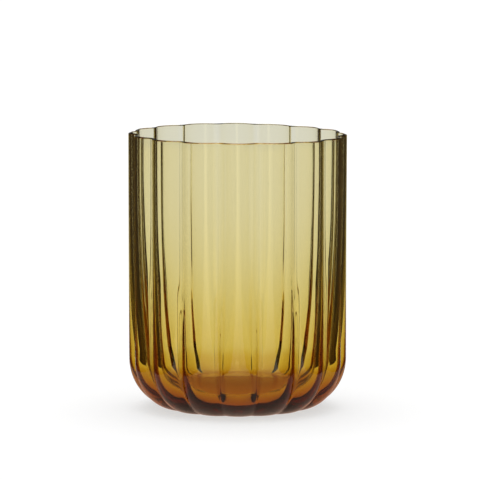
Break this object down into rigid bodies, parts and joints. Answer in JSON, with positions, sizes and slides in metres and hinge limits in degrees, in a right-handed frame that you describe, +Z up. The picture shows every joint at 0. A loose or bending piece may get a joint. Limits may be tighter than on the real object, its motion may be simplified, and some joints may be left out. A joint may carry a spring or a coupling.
{
  "type": "lobed glass vase",
  "caption": "Hand blown amber glass vase: a straight lobed cylinder on a rounded heel with a thick flat base and a polished open rim.",
  "frame": {"origin": "centre of the flat underside, on the surface the vase stands on", "axes": "+Z up the vase's axis to its mouth; -Y is the front, where one lobe faces almost straight forward; +X is to the right seen from the front"},
  "size_m": [0.13, 0.13, 0.1645],
  "materials": {
    "amber_glass": "clear, fire polished"
  },
  "bodies": {
    "root": {"base": "amber_glass", "heel": "amber_glass", "wall": "amber_glass", "rim": "amber_glass"}
  },
  "joints": []
}
